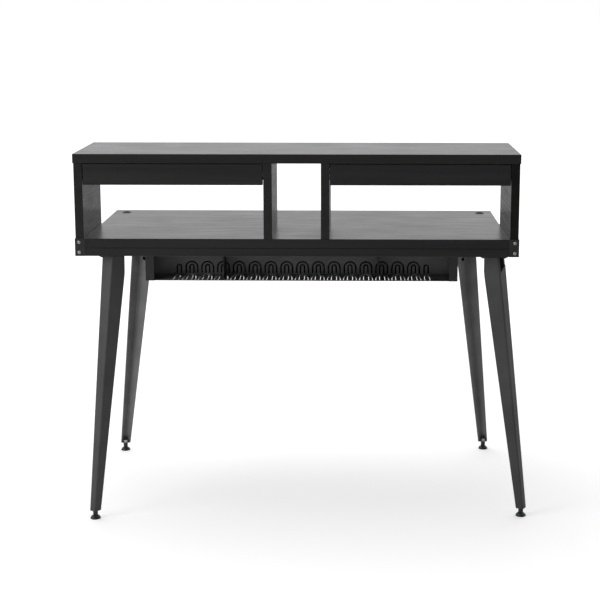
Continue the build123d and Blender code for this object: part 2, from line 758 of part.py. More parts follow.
def make_tray_brackets():
    """End cheeks and middle hangers; each has a flange on top and one along its front edge."""
    top = desktop_low
    low = tray_floor_height
    for name, side in (("left_tray_bracket", -1), ("right_tray_bracket", 1)):
        outer = side * tray_half_length
        inner = outer - side * bracket_sheet
        reach = inner - side * bracket_flange
        with BuildPart() as bracket:
            add(block(*sorted((outer, inner)), tray_front, tray_wall_front, low, top))
            add(block(*sorted((inner, reach)), tray_front, tray_wall_front, top - bracket_sheet, top))
            add(block(*sorted((inner, reach)), tray_front - bracket_sheet, tray_front, low, top))
            add(block(*sorted((outer, inner)), tray_front - bracket_sheet, tray_front, low, top))
            own = [p for p in tray_top_screw_places() if min(outer, reach) < p[0] < max(outer, reach)]
            for x, y, z in own:
                with Locations((x, y, z)):
                    Cylinder(tray_screw_shank / 2, bracket_sheet,
                             align=(Align.CENTER, Align.CENTER, Align.MAX), mode=Mode.SUBTRACT)
        save(bracket.part, name)
    with BuildPart() as hangers:
        for side in (-1, 1):
            x = side * hanger_spacing / 2
            add(block(x - bracket_sheet, x, tray_front, tray_wall_front, low + tray_sheet, top))
            add(block(x, x + bracket_flange, tray_front, tray_wall_front, top - bracket_sheet, top))
            own = [p for p in tray_top_screw_places() if x < p[0] < x + bracket_flange]
            for px, py, pz in own:
                with Locations((px, py, pz)):
                    Cylinder(tray_screw_shank / 2, bracket_sheet,
                             align=(Align.CENTER, Align.CENTER, Align.MAX), mode=Mode.SUBTRACT)
    save(hangers.part, "tray_hangers")
    tops = [(x, y, top - bracket_sheet) for x, y, z in tray_top_screw_places()]
    length = bracket_sheet + tray_screw_bite
    walls = [(x, tray_wall_front, tray_wall_screw_height) for x in tray_wall_screw_xs]
    head = (tray_screw_head, tray_screw_head_height)
    with BuildPart() as fixings:
        add(screws(tops, up_turn, tray_screw_shank, length, *head))
        add(screws(walls, to_back_turn, tray_screw_shank, tray_sheet + tray_screw_bite, *head))
    save(fixings.part, "tray_screws")


def make_grommets():
    """Black rings that line the two cable holes."""
    for name, side in (("left_grommet", -1), ("right_grommet", 1)):
        centre = (side * cable_hole_x, cable_hole_y, desk_height)
        with BuildPart() as ring:
            with Locations(centre):
                Cylinder(cable_hole_diameter / 2 + grommet_rim, grommet_flange_height,
                         align=(Align.CENTER, Align.CENTER, Align.MIN))
            lip = ring.edges().filter_by(GeomType.CIRCLE).group_by(Axis.Z)[-1]
            fillet(lip, radius=grommet_lip_radius)
            with Locations(centre):
                Cylinder(cable_hole_diameter / 2, top_thick,
                         align=(Align.CENTER, Align.CENTER, Align.MAX))
                Cylinder(cable_hole_diameter / 2 - grommet_wall, through_cut, mode=Mode.SUBTRACT)
        save(ring.part, name)


def make_drawers():
    """Both drawers: shown front, box of five boards, slide members and screws."""
    for name, (x0, x1) in bay_spans.items():
        bx0, bx1 = x0 + slide_space, x1 - slide_space
        by0, by1 = box_front_y, box_front_y + box_depth
        front_top = shelf_low - drawer_gap
        front = block(x0 + drawer_gap, x1 - drawer_gap, front_face_y, box_front_y,
                      front_top - drawer_front_height, front_top, edge_round)
        screw_xs = (bx0 + front_screw_inset, bx1 - front_screw_inset)
        inside_y = by0 + box_wall
        entries = [(x, by0, slide_middle) for x in screw_xs]
        front = drilled(front, entries, tray_screw_shank, front_screw_bite, to_front_turn)
        save(front, f"{name}_drawer_front")
        inner_front = block(bx0 + box_wall, bx1 - box_wall, by0, inside_y, box_low, box_top)
        through = [(x, inside_y, slide_middle) for x in screw_xs]
        inner_front = drilled(inner_front, through, tray_screw_shank, box_wall, to_front_turn)
        save(inner_front, f"{name}_drawer_inner_front")
        for which, sx0, sx1 in (("left", bx0, bx0 + box_wall), ("right", bx1 - box_wall, bx1)):
            side = block(sx0, sx1, by0, by1, box_low, box_top)
            save(side, f"{name}_drawer_{which}_side")
        back = block(bx0 + box_wall, bx1 - box_wall, by1 - box_wall, by1, box_low, box_top)
        save(back, f"{name}_drawer_back")
        bottom = block(bx0 + box_wall, bx1 - box_wall, inside_y, by1 - box_wall,
                       box_low, box_low + box_bottom_thick)
        save(bottom, f"{name}_drawer_bottom")
        save(screws(through, to_front_turn, tray_screw_shank, box_wall + front_screw_bite,
                    tray_screw_head, tray_screw_head_height), f"{name}_drawer_screws")
        make_slides(name, x0, x1)


def make_slides(name, x0, x1):
    """Fixed and running slide members on both sides of one drawer."""
    z0 = slide_middle - slide_height / 2
    z1 = slide_middle + slide_height / 2
    y0, y1 = slide_start, slide_start + slide_length
    gap = slide_sheet + slide_running_gap
    for which, wall, inward in (("left", x0, 1), ("right", x1, -1)):
        web = wall + inward * slide_sheet
        lip = wall + inward * slide_lip
        with BuildPart() as fixed:
            add(block(*sorted((wall, web)), y0, y1, z0, z1))
            add(block(*sorted((web, lip)), y0, y1, z0, z0 + slide_sheet))
            add(block(*sorted((web, lip)), y0, y1, z1 - slide_sheet, z1))
            for y in slide_screw_rows:
                with Locations(Location((web, y, slide_middle), away_turn[inward])):
                    Cylinder(slide_screw_shank / 2, slide_sheet,
                             align=(Align.CENTER, Align.CENTER, Align.MIN), mode=Mode.SUBTRACT)
        save(fixed.part, f"{name}_drawer_fixed_rail_{which}")
        box_side = wall + inward * slide_space
        run_web = box_side - inward * slide_sheet
        run_lip = box_side - inward * slide_rail_depth
        with BuildPart() as runner:
            add(block(*sorted((box_side, run_web)), y0, y1, z0 + gap, z1 - gap))
            add(block(*sorted((run_web, run_lip)), y0, y1, z0 + gap, z0 + gap + slide_sheet))
            add(block(*sorted((run_web, run_lip)), y0, y1, z1 - gap - slide_sheet, z1 - gap))
        save(runner.part, f"{name}_drawer_runner_{which}")


def make_slide_screws():
    """Screws through the fixed slide members into the bay walls."""
    with BuildPart() as group:
        for wall, inward in slide_walls:
            seats = [(wall + inward * slide_sheet, y, slide_middle) for y in slide_screw_rows]
            add(screws(seats, away_turn[inward], slide_screw_shank, slide_sheet + slide_screw_bite,
                       slide_screw_head, slide_screw_head_height))
    save(group.part, "slide_screws")


make_top_shelf()
make_uprights()
make_desktop()
make_subrails()
make_end_rails()
make_corner_plates()
make_board_fasteners()
make_legs()
make_feet()
make_apron()
make_tray()
make_tray_brackets()
make_grommets()
make_drawers()
make_slide_screws()
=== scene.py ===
import math

import bmesh
import bpy
import numpy as np
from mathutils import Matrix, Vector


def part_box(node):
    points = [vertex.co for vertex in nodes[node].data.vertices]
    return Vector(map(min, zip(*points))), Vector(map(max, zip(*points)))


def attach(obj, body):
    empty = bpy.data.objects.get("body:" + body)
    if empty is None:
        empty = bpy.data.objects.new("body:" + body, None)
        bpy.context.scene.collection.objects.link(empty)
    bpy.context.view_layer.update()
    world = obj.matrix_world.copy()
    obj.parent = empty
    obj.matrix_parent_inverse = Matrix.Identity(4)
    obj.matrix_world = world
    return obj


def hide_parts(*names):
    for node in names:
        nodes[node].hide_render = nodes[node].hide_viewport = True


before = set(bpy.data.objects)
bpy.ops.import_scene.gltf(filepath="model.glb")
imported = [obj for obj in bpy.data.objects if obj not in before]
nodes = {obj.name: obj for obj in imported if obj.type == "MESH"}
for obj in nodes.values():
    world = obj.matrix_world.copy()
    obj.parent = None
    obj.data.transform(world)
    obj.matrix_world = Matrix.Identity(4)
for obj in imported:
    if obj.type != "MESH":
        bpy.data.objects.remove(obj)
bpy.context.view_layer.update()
print("frame loaded with", len(nodes), "nodes")

mm = 0.001

# small helpers for meshes


def nodePoints(name):
    # all corner points of a CAD node as one array
    mesh = nodes[name].data
    flat = np.empty(len(mesh.vertices) * 3)
    mesh.vertices.foreach_get("co", flat)
    return flat.reshape(-1, 3)


def gridFaces(rows, columns, closed):
    # quads between neighbouring grid points; closed joins the last column to the first
    row = np.arange(rows - 1)[:, None]
    column = np.arange(columns if closed else columns - 1)[None, :]
    after = (column + 1) % columns
    corners = (row * columns + column, row * columns + after,
               (row + 1) * columns + after, (row + 1) * columns + column)
    return np.stack(np.broadcast_arrays(*corners), -1).reshape(-1, 4).tolist()


def joinShells(shells):
    # several (points, faces) pairs as one pair
    points, faces, start = [], [], 0
    for shellPoints, shellFaces in shells:
        points.append(np.asarray(shellPoints, float).reshape(-1, 3))
        faces += [[index + start for index in face] for face in shellFaces]
        start += len(points[-1])
    return np.concatenate(points), faces


def makePiece(name, shell, material, body, replaced=(), bevel=0.0, smooth=True):
    # puts a closed shell into a mesh at the origin, points its faces outwards and lets it ride
    points, faces = shell
    mesh = bpy.data.meshes.new(name)
    mesh.from_pydata(points.tolist(), [], faces)
    work = bmesh.new()
    work.from_mesh(mesh)
    bmesh.ops.remove_doubles(work, verts=work.verts, dist=1e-6)
    bmesh.ops.recalc_face_normals(work, faces=work.faces)
    work.to_mesh(mesh)
    work.free()
    mesh.polygons.foreach_set("use_smooth", [smooth] * len(mesh.polygons))
    mesh.materials.append(material)
    piece = bpy.data.objects.new(name, mesh)
    bpy.context.scene.collection.objects.link(piece)
    if bevel:
        rounding = piece.modifiers.new("edgeRounding", "BEVEL")
        rounding.width = bevel
        rounding.segments = 3
        rounding.limit_method = "ANGLE"
        rounding.angle_limit = math.radians(38)
        rounding.harden_normals = True
    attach(piece, body)
    if replaced:
        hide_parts(*replaced)
    return piece


def turnedShell(radius, height, centre, sides, ripple=None):
    # x = cx + r(s) k(s,a) cos a, y = cy + r(s) k(s,a) sin a, z = cz + h(s); both ends close in a pole
    angle = np.linspace(0, 2 * np.pi, sides, endpoint=False)
    inner = np.asarray(radius)[:, None] * np.ones(sides)
    if ripple is not None:
        inner = inner * ripple(np.arange(len(radius))[:, None], angle[None, :])
    level = np.asarray(height)[:, None] * np.ones(sides)
    ring = np.stack([inner * np.cos(angle), inner * np.sin(angle), level], -1).reshape(-1, 3)
    rows = len(radius)
    poles = [[0, 0, height[0]], [0, 0, height[-1]]]
    points = np.concatenate([ring, poles]) + np.asarray(centre)
    faces = gridFaces(rows, sides, True)
    low, high, last = rows * sides, rows * sides + 1, (rows - 1) * sides
    faces += [[low, (i + 1) % sides, i] for i in range(sides)]
    faces += [[high, last + i, last + (i + 1) % sides] for i in range(sides)]
    return points, faces


def prismShell(low, high):
    # straight walls between two outlines with the same number of points, with a flat cap on each
    count = len(low)
    points = np.concatenate([low, high])
    faces = gridFaces(2, count, True)
    faces += [list(range(count))[::-1], list(range(count, 2 * count))]
    return points, faces


def sheetShell(front, back):
    # front and back are (rows, columns, 3) grids of one sheet; the rim closes it all round
    rows, columns = front.shape[:2]
    loop = np.concatenate([front, back[:, ::-1]], axis=1)
    faces = gridFaces(rows, 2 * columns, True)
    step = np.arange(columns - 1)
    far = 2 * columns - 1 - step
    for start, flip in ((0, True), ((rows - 1) * 2 * columns, False)):
        cap = np.stack([start + step, start + step + 1, start + far - 1, start + far], -1)
        faces += (cap[:, ::-1] if flip else cap).tolist()
    return loop.reshape(-1, 3), faces


def hullOutline(points, directions=72):
    # the farthest point in each direction, so the convex outline, in order
    angle = np.linspace(0, 2 * np.pi, directions, endpoint=False)
    pick = np.argmax(np.cos(angle)[:, None] * points[:, 0] + np.sin(angle)[:, None] * points[:, 1], axis=1)
    keep = [pick[i] for i in range(directions) if pick[i] != pick[i - 1]]
    return points[keep]


def atHeight(outline, z):
    outline = np.asarray(outline, float)
    return np.column_stack([outline, np.full(len(outline), z)])


# small helpers for materials


def addNode(tree, kind, inputs=None, **settings):
    # a node with its settings; an input is a value or another node's output
    node = tree.nodes.new(kind)
    for key, value in settings.items():
        setattr(node, key, value)
    for key, value in (inputs or {}).items():
        if isinstance(value, bpy.types.NodeSocket):
            tree.links.new(value, node.inputs[key])
        else:
            node.inputs[key].default_value = value
    return node


def math2(tree, operation, first, second=0.0, clamp=False):
    inputs = {0: first, 1: second}
    return addNode(tree, "ShaderNodeMath", inputs, operation=operation, use_clamp=clamp).outputs[0]


def vector2(tree, operation, first, second=(0, 0, 0)):
    return addNode(tree, "ShaderNodeVectorMath", {0: first, 1: second}, operation=operation).outputs[0]


def rampValue(tree, value, low, high, outLow=0.0, outHigh=1.0):
    # a smooth step from outLow to outHigh as the value goes from low to high
    return addNode(tree, "ShaderNodeMapRange", {"Value": value, "From Min": low, "From Max": high,
                   "To Min": outLow, "To Max": outHigh}, interpolation_type="SMOOTHSTEP").outputs[0]


def mixColour(tree, factor, first, second):
    node = addNode(tree, "ShaderNodeMix", data_type="RGBA")
    for index, value in ((0, factor), (6, first), (7, second)):
        if isinstance(value, bpy.types.NodeSocket):
            tree.links.new(value, node.inputs[index])
        else:
            node.inputs[index].default_value = value if index == 0 else (*value, 1.0)
    return node.outputs[2]


def noise(tree, vector, scale, detail=4.0, roughness=0.55, distortion=0.0):
    return addNode(tree, "ShaderNodeTexNoise", {"Vector": vector, "Scale": scale, "Detail": detail,
                   "Roughness": roughness, "Distortion": distortion}).outputs["Fac"]


def startMaterial(name, surface):
    # a Principled material; surface holds the numbers that are the same all over
    material = bpy.data.materials.new(name)
    material.use_nodes = True
    tree = material.node_tree
    shader = tree.nodes["Principled BSDF"]
    for key, value in surface.items():
        shader.inputs[key].default_value = value
    place = addNode(tree, "ShaderNodeTexCoord").outputs["Object"]
    return material, tree, shader, place


def linkBump(tree, shader, height, strength, distance):
    bump = addNode(tree, "ShaderNodeBump", {"Strength": strength, "Distance": distance, "Height": height})
    tree.links.new(bump.outputs["Normal"], shader.inputs["Normal"])


def edgeDistance(tree, place, low, high):
    # for a board: the second smallest distance to its six sides, so how near the nearest edge is
    centre = tuple((np.array(low) + np.array(high)) / 2)
    half = tuple((np.array(high) - np.array(low)) / 2)
    away = vector2(tree, "ABSOLUTE", vector2(tree, "SUBTRACT", place, centre))
    left = addNode(tree, "ShaderNodeSeparateXYZ", {0: vector2(tree, "SUBTRACT", half, away)})
    x, y, z = left.outputs
    least = math2(tree, "MINIMUM", math2(tree, "MINIMUM", x, y), z)
    most = math2(tree, "MAXIMUM", math2(tree, "MAXIMUM", x, y), z)
    total = math2(tree, "ADD", math2(tree, "ADD", x, y), z)
    return math2(tree, "SUBTRACT", math2(tree, "SUBTRACT", total, least), most)


# black laminate boards

laminateLook = {
    "dark": (0.0045, 0.0044, 0.0043),
    "light": (0.0125, 0.0120, 0.0115),
    "worn": (0.034, 0.033, 0.032),
    "gloss": (0.24, 0.37),          # roughness between fibres and on them
    "edgeBand": 0.8 * mm,           # width of the glued edge strip's line
    "wearWidth": (0.1 * mm, 1.1 * mm),
    "streak": (1.1, 34.0),          # noise cells per metre along and across the grain
    "fibre": (7.0, 420.0),
    "pore": (26.0, 760.0),
    "poreLimits": (0.60, 0.74),
    "rubScale": 55.0,
    "smearScale": 9.0,
    "relief": 0.05 * mm,
    "ior": 1.40,
}


def laminate(name, low, high, grain, seed, look=laminateLook):
    # streaks run along the grain axis: noise stretched far along it, with fine fibres and short pores
    material, tree, shader, place = startMaterial(name, {"IOR": look["ior"]})

    def stretched(along, across):
        scale = [across] * 3
        scale[grain] = along
        offset = (seed * 1.7, seed * 2.3, seed * 0.9)
        inputs = {"Vector": place, "Location": offset, "Scale": scale}
        return addNode(tree, "ShaderNodeMapping", inputs).outputs[0]

    streak = noise(tree, stretched(*look["streak"]), 1.0, 5.0, 0.62, 0.35)
    fibre = noise(tree, stretched(*look["fibre"]), 1.0, 4.0, 0.6)
    pore = noise(tree, stretched(*look["pore"]), 1.0, 2.0, 0.5)
    pores = rampValue(tree, pore, *look["poreLimits"])
    tone = math2(tree, "ADD", math2(tree, "MULTIPLY", rampValue(tree, streak, 0.30, 0.72), 0.7),
                 math2(tree, "MULTIPLY", fibre, 0.3), True)
    colour = mixColour(tree, tone, look["dark"], look["light"])
    colour = mixColour(tree, math2(tree, "MULTIPLY", pores, 0.7), colour, look["dark"])
    nearEdge = edgeDistance(tree, place, low, high)
    rub = rampValue(tree, noise(tree, place, look["rubScale"], 3.0), 0.44, 0.72)
    wear = math2(tree, "MULTIPLY", rampValue(tree, nearEdge, *look["wearWidth"], 1.0, 0.0), rub)
    band = math2(tree, "MULTIPLY", rampValue(tree, nearEdge, look["edgeBand"], look["edgeBand"] * 1.3),
                 rampValue(tree, nearEdge, look["edgeBand"] * 1.4, look["edgeBand"] * 1.8, 1.0, 0.0))
    colour = mixColour(tree, math2(tree, "MULTIPLY", band, 0.8), colour, (0.001, 0.001, 0.001))
    colour = mixColour(tree, math2(tree, "MULTIPLY", wear, 0.5), colour, look["worn"])
    tree.links.new(colour, shader.inputs["Base Color"])
    smear = noise(tree, place, look["smearScale"], 3.0)
    rough = math2(tree, "ADD", rampValue(tree, fibre, 0.3, 0.7, *look["gloss"]),
                  math2(tree, "MULTIPLY", math2(tree, "SUBTRACT", smear, 0.5), 0.10))
    rough = math2(tree, "ADD", rough, math2(tree, "MULTIPLY", wear, 0.2), True)
    tree.links.new(rough, shader.inputs["Roughness"])
    relief = math2(tree, "SUBTRACT", math2(tree, "MULTIPLY", fibre, 0.5), pores)
    linkBump(tree, shader, relief, 0.35, look["relief"])
    return material


# shading adjustments: less mirror on the end panels, the right one least; the apron behind the tray's
# slots is painted shade, a darker and duller black so the slots read as shadowed
leftPanelLook = {**laminateLook, "ior": 1.37}
rightPanelLook = {**laminateLook, "ior": 1.22}
apronPaintedShadeLook = {**laminateLook, "dark": (0.001, 0.001, 0.001), "light": (0.003, 0.003, 0.003), "ior": 1.15,
             "gloss": (0.6, 0.7)}
# each board's grain axis and look
boards = {
    "top_shelf": (0, laminateLook), "desktop": (0, laminateLook), "front_subrail": (0, laminateLook),
    "back_subrail": (0, laminateLook), "back_apron": (0, apronPaintedShadeLook),
    "left_end_rail": (1, laminateLook), "right_end_rail": (1, laminateLook),
    "left_side_panel": (1, leftPanelLook), "right_side_panel": (1, rightPanelLook),
    "left_divider": (1, laminateLook), "right_divider": (1, laminateLook),
}
for seed, (board, (grain, look)) in enumerate(boards.items()):
    nodes[board].data.materials.clear()
    nodes[board].data.materials.append(
        laminate(board + "_laminate", *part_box(board), grain, seed + 1, look))
print("laminate boards:", len(boards))

# drawer fronts and boxes

drawerLook = {
    "front": {**laminateLook, "dark": (0.006, 0.006, 0.006), "light": (0.020, 0.0195, 0.019),
              "worn": (0.04, 0.039, 0.038), "gloss": (0.34, 0.50), "ior": 1.38},
    "boxDark": (0.010, 0.010, 0.010),
    "boxLight": (0.026, 0.026, 0.025),
    "chipScale": 330.0,
    "speckleScale": 900.0,
    "boxGloss": (0.46, 0.62),
}


def boxBoard(name):
    # matt melamine over chips: a cell pattern of small flakes under fine speckle
    material, tree, shader, place = startMaterial(name, {"IOR": 1.4})
    flakes = addNode(tree, "ShaderNodeTexVoronoi", {"Vector": place, "Scale": drawerLook["chipScale"],
                     "Randomness": 1.0}, feature="F1").outputs["Distance"]
    speckle = noise(tree, place, drawerLook["speckleScale"], 3.0)
    tone = math2(tree, "MULTIPLY", rampValue(tree, flakes, 0.1, 0.8), speckle)
    colour = mixColour(tree, tone, drawerLook["boxDark"], drawerLook["boxLight"])
    tree.links.new(colour, shader.inputs["Base Color"])
    rough = rampValue(tree, speckle, 0.3, 0.7, *drawerLook["boxGloss"])
    tree.links.new(rough, shader.inputs["Roughness"])
    linkBump(tree, shader, speckle, 0.25, 0.04 * mm)
    return material


boxMaterial = boxBoard("drawerBoxMelamine")
for seed, side in enumerate(("left", "right")):
    front = side + "_drawer_front"
    nodes[front].data.materials.clear()
    nodes[front].data.materials.append(
        laminate(front + "_laminate", *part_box(front), 0, seed + 31, drawerLook["front"]))
    for part in ("inner_front", "left_side", "right_side", "back", "bottom"):
        node = nodes[f"{side}_drawer_{part}"]
        node.data.materials.clear()
        node.data.materials.append(boxMaterial)
print("drawers done")

# painted and plated steel

coatLook = {
    "low": (0.034, 0.034, 0.034),
    "high": (0.062, 0.062, 0.063),
    "peel": 620.0,                  # orange-peel cells per metre
    "gloss": (0.36, 0.50),
    "scuff": (0.12, 0.12, 0.12),
    "cloudScale": 12.0,
    "scuffScale": 85.0,
    "relief": 0.12 * mm,
}


def powderCoat(name, look=coatLook):
    # charcoal powder coat: an orange-peel skin, a finer grit and rare rubbed spots
    material, tree, shader, place = startMaterial(name, {"IOR": 1.48, "Specular IOR Level": 0.5})
    peel = noise(tree, place, look["peel"], 2.0, 0.5)
    grit = noise(tree, place, look["peel"] * 4.5, 3.0, 0.6)
    cloud = noise(tree, place, look["cloudScale"], 3.0)
    tone = math2(tree, "ADD", math2(tree, "MULTIPLY", grit, 0.55), math2(tree, "MULTIPLY", cloud, 0.45))
    colour = mixColour(tree, rampValue(tree, tone, 0.30, 0.70), look["low"], look["high"])
    scuffs = rampValue(tree, noise(tree, place, look["scuffScale"], 5.0, 0.7), 0.70, 0.80)
    colour = mixColour(tree, math2(tree, "MULTIPLY", scuffs, 0.35), colour, look["scuff"])
    if "frontPaintedLight" in look:
        # a shading adjustment: faces turned to the front are made paler
        normal = addNode(tree, "ShaderNodeNewGeometry").outputs["Normal"]
        turned = addNode(tree, "ShaderNodeSeparateXYZ", {0: normal}).outputs["Y"]
        pale = vector2(tree, "MULTIPLY", colour, [look["frontPaintedLight"]] * 3)
        colour = mixColour(tree, rampValue(tree, turned, -0.5, -0.1, 1.0, 0.0), colour, pale)
    level = addNode(tree, "ShaderNodeSeparateXYZ", {0: place}).outputs["Z"]
    if "lowLift" in look:
        # a shading adjustment: paler towards the bottom, against the shade under the desktop
        low, high, lift = look["lowLift"]
        pale = vector2(tree, "MULTIPLY", colour, [lift] * 3)
        colour = mixColour(tree, rampValue(tree, level, low, high, 1.0, 0.0), colour, pale)
    if "paintedShadeAbove" in look:
        # painted shade: the mounting plates under the rail, and all above their underside, are made near
        # black
        upper = rampValue(tree, level, look["paintedShadeAbove"] - 0.4 * mm, look["paintedShadeAbove"])
        colour = mixColour(tree, upper, colour, (0.002, 0.002, 0.002))
    tree.links.new(colour, shader.inputs["Base Color"])
    tree.links.new(rampValue(tree, grit, 0.3, 0.7, *look["gloss"]), shader.inputs["Roughness"])
    height = math2(tree, "ADD", peel, math2(tree, "MULTIPLY", grit, 0.25))
    linkBump(tree, shader, height, 0.30, look["relief"])
    return material


platingLook = {"shade": 0.82, "hazeScale": 240.0, "relief": 0.04 * mm}
plasticLook = {"grainScale": 1500.0, "hazeScale": 70.0, "haze": 1.9, "relief": 0.05 * mm}


def platedSteel(name, tone, rough, spangle):
    # bright plating: flat crystal cells that each lie a little differently, under fine brushing
    material, tree, shader, place = startMaterial(name, {"Metallic": 1.0})
    cells = addNode(tree, "ShaderNodeTexVoronoi", {"Vector": place, "Scale": spangle}, feature="F1")
    grey = addNode(tree, "ShaderNodeRGBToBW", {0: cells.outputs["Color"]}).outputs[0]
    haze = noise(tree, place, platingLook["hazeScale"], 4.0)
    colour = mixColour(tree, grey, tuple(c * platingLook["shade"] for c in tone), tone)
    tree.links.new(colour, shader.inputs["Base Color"])
    level = math2(tree, "ADD", math2(tree, "MULTIPLY", grey, 0.10), math2(tree, "MULTIPLY", haze, 0.14))
    tree.links.new(math2(tree, "ADD", level, rough), shader.inputs["Roughness"])
    linkBump(tree, shader, math2(tree, "ADD", haze, grey), 0.12, platingLook["relief"])
    return material


def mouldedPlastic(name, tone, rough, ior=1.47):
    # black moulded plastic: a spark-eroded grain and a soft haze
    material, tree, shader, place = startMaterial(name, {"IOR": ior})
    grain = noise(tree, place, plasticLook["grainScale"], 3.0, 0.6)
    haze = noise(tree, place, plasticLook["hazeScale"], 3.0)
    paler = tuple(c * plasticLook["haze"] for c in tone)
    tree.links.new(mixColour(tree, haze, tone, paler), shader.inputs["Base Color"])
    level = math2(tree, "MULTIPLY", grain, 0.16)
    tree.links.new(math2(tree, "ADD", level, rough), shader.inputs["Roughness"])
    linkBump(tree, shader, grain, 0.2, plasticLook["relief"])
    return material


def beechWood(name):
    # pale turned beech: rings along the dowel with short dark flecks
    material, tree, shader, place = startMaterial(name, {"IOR": 1.45})
    stretch = {"Vector": place, "Scale": (300.0, 300.0, 18.0)}
    along = addNode(tree, "ShaderNodeMapping", stretch).outputs[0]
    ring = noise(tree, along, 1.0, 5.0)
    colour = mixColour(tree, ring, (0.42, 0.27, 0.15), (0.62, 0.45, 0.28))
    tree.links.new(colour, shader.inputs["Base Color"])
    tree.links.new(rampValue(tree, ring, 0.3, 0.7, 0.5, 0.68), shader.inputs["Roughness"])
    linkBump(tree, shader, ring, 0.3, 0.05 * mm)
    return material


def coated(name, low, high, **extra):
    # a powder coat between two greys
    return powderCoat(name, {**coatLook, "low": (low, low, low), "high": (high, high, high), **extra})


# painted shade: the legs are made near black from the mounting plates' underside up
legCoatLook = {**coatLook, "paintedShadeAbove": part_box("front_left_leg")[1][2] - 3.0 * mm}
coat = powderCoat("charcoalPowderCoat", legCoatLook)
# painted light: the back legs' coat is made paler on faces turned to the front
backLegPaintedLightCoat = powderCoat("backLegCoatPaintedLight", {**legCoatLook, "frontPaintedLight": 3.4})
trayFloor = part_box("cable_tray")[0][2]
# painted light: the tray's coat is paler than the legs', and paler still towards its floor, standing in
# for light under the desktop
trayPaintedLightCoat = coated("trayCoatPaintedLight", 0.095, 0.150, lowLift=(trayFloor, trayFloor + 60 * mm, 2.6))
# painted shade: the tray brackets are made darker than the tray, to match the shaded wall
bracketPaintedShadeCoat = coated("bracketPaintedShadeCoat", 0.016, 0.030)
# painted light: the slot rims are pale, standing in for the lit slot edges and the light seen through the
# slots
rimPaintedLightCoat = coated("rimPaintedLightCoat", 0.55, 0.75)
# painted shade: the hangers are made nearly black so their edges read as dark seam lines
hangerPaintedShadeCoat = coated("hangerPaintedShadeCoat", 0.004, 0.009)
plateCoat = coated("cornerPlateCoat", 0.008, 0.016)
blackScrewCoat = coated("blackScrewCoat", 0.012, 0.026)
zinc = platedSteel("zincPlating", (0.60, 0.61, 0.62), 0.26, 420.0)
nickel = platedSteel("nickelPlating", (0.50, 0.49, 0.48), 0.24, 2600.0)
footPlastic = mouldedPlastic("footPlastic", (0.010, 0.010, 0.010), 0.30)
grommetPlastic = mouldedPlastic("grommetPlastic", (0.012, 0.012, 0.012), 0.34)
# near black with little sheen: as the notch fillers it is painted shade, as the hole plugs black plastic
plugPlasticAndPaintedShade = mouldedPlastic("plugPlasticAndPaintedShade", (0.0012, 0.0012, 0.0012), 0.62, 1.12)
beech = beechWood("beechDowel")

finishes = {
    trayPaintedLightCoat: ["cable_tray"],
    bracketPaintedShadeCoat: ["left_tray_bracket", "right_tray_bracket"],
    hangerPaintedShadeCoat: ["tray_hangers"],
    plateCoat: ["left_corner_plate", "right_corner_plate"],
    blackScrewCoat: ["leg_screws", "tray_screws"],
    zinc: [name for name in nodes if "rail_screws" in name or "fixed_rail" in name or "runner" in name]
          + ["apron_screws", "divider_screws", "side_panel_screws", "slide_screws", "leg_nuts",
             "left_drawer_screws", "right_drawer_screws"],
    beech: ["shelf_dowels"],
}
for finish, names in finishes.items():
    for name in names:
        nodes[name].data.materials.clear()
        nodes[name].data.materials.append(finish)
print("steel, plastic and dowel finishes done")

# folded legs

legShape = {
    "sheet": 3.0 * mm, "bend": 5.0 * mm, "halfFold": 50.0,
    "innerTop": 44.5 * mm, "outerTop": 34.5 * mm, "innerFoot": 19.5 * mm, "outerFoot": 18.0 * mm,
    "plate": 3.0 * mm, "straightTop": 55.0 * mm, "footHeight": 22.0 * mm, "footInset": 13.97 * mm,
    "gusset": 48.0 * mm, "plateCorner": 5.0 * mm, "neck": 6.5 * mm,
    "notchLow": 48.0 * mm, "notchRise": 24.0 * mm, "notchStart": 3.0 * mm, "notchReach": 45.0 * mm,
    "holeX": 468.0 * mm, "holeDrop": 94.0 * mm, "holeWidth": 8.0 * mm,
}
deskMiddle = (np.array(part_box("desktop")[0]) + np.array(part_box("desktop")[1])) / 2
# apex of each fold under the rail, counted from the desktop's middle, and the turn of the fold
legs = {
    "front_left": {"apex": (-481.0, -226.0), "turn": 8.0, "out": -1, "inner": 1, "notch": False},
    "front_right": {"apex": (525.5, -218.0), "turn": 18.0, "out": -1, "inner": -1, "notch": True},
    "back_left": {"apex": (-471.5, 229.0), "turn": -9.0, "out": 1, "inner": 1, "notch": True},
    "back_right": {"apex": (470.5, 229.0), "turn": -7.0, "out": 1, "inner": -1, "notch": False},
}


def legAxes(leg):
    # unit vectors: out of the fold, along the inner flange, along the outer flange
    turn, half = math.radians(leg["turn"]), math.radians(legShape["halfFold"])
    out = np.array([math.sin(turn), leg["out"] * math.cos(turn)])
    sides = []
    for sign in (1, -1):
        cos, sin = math.cos(half), math.sin(half) * sign
        sides.append(np.array([-out[0] * cos + out[1] * sin, -out[0] * sin - out[1] * cos]))
    if (sides[0][0] > sides[1][0]) != (leg["inner"] > 0):
        sides.reverse()
    return out, sides[0], sides[1]


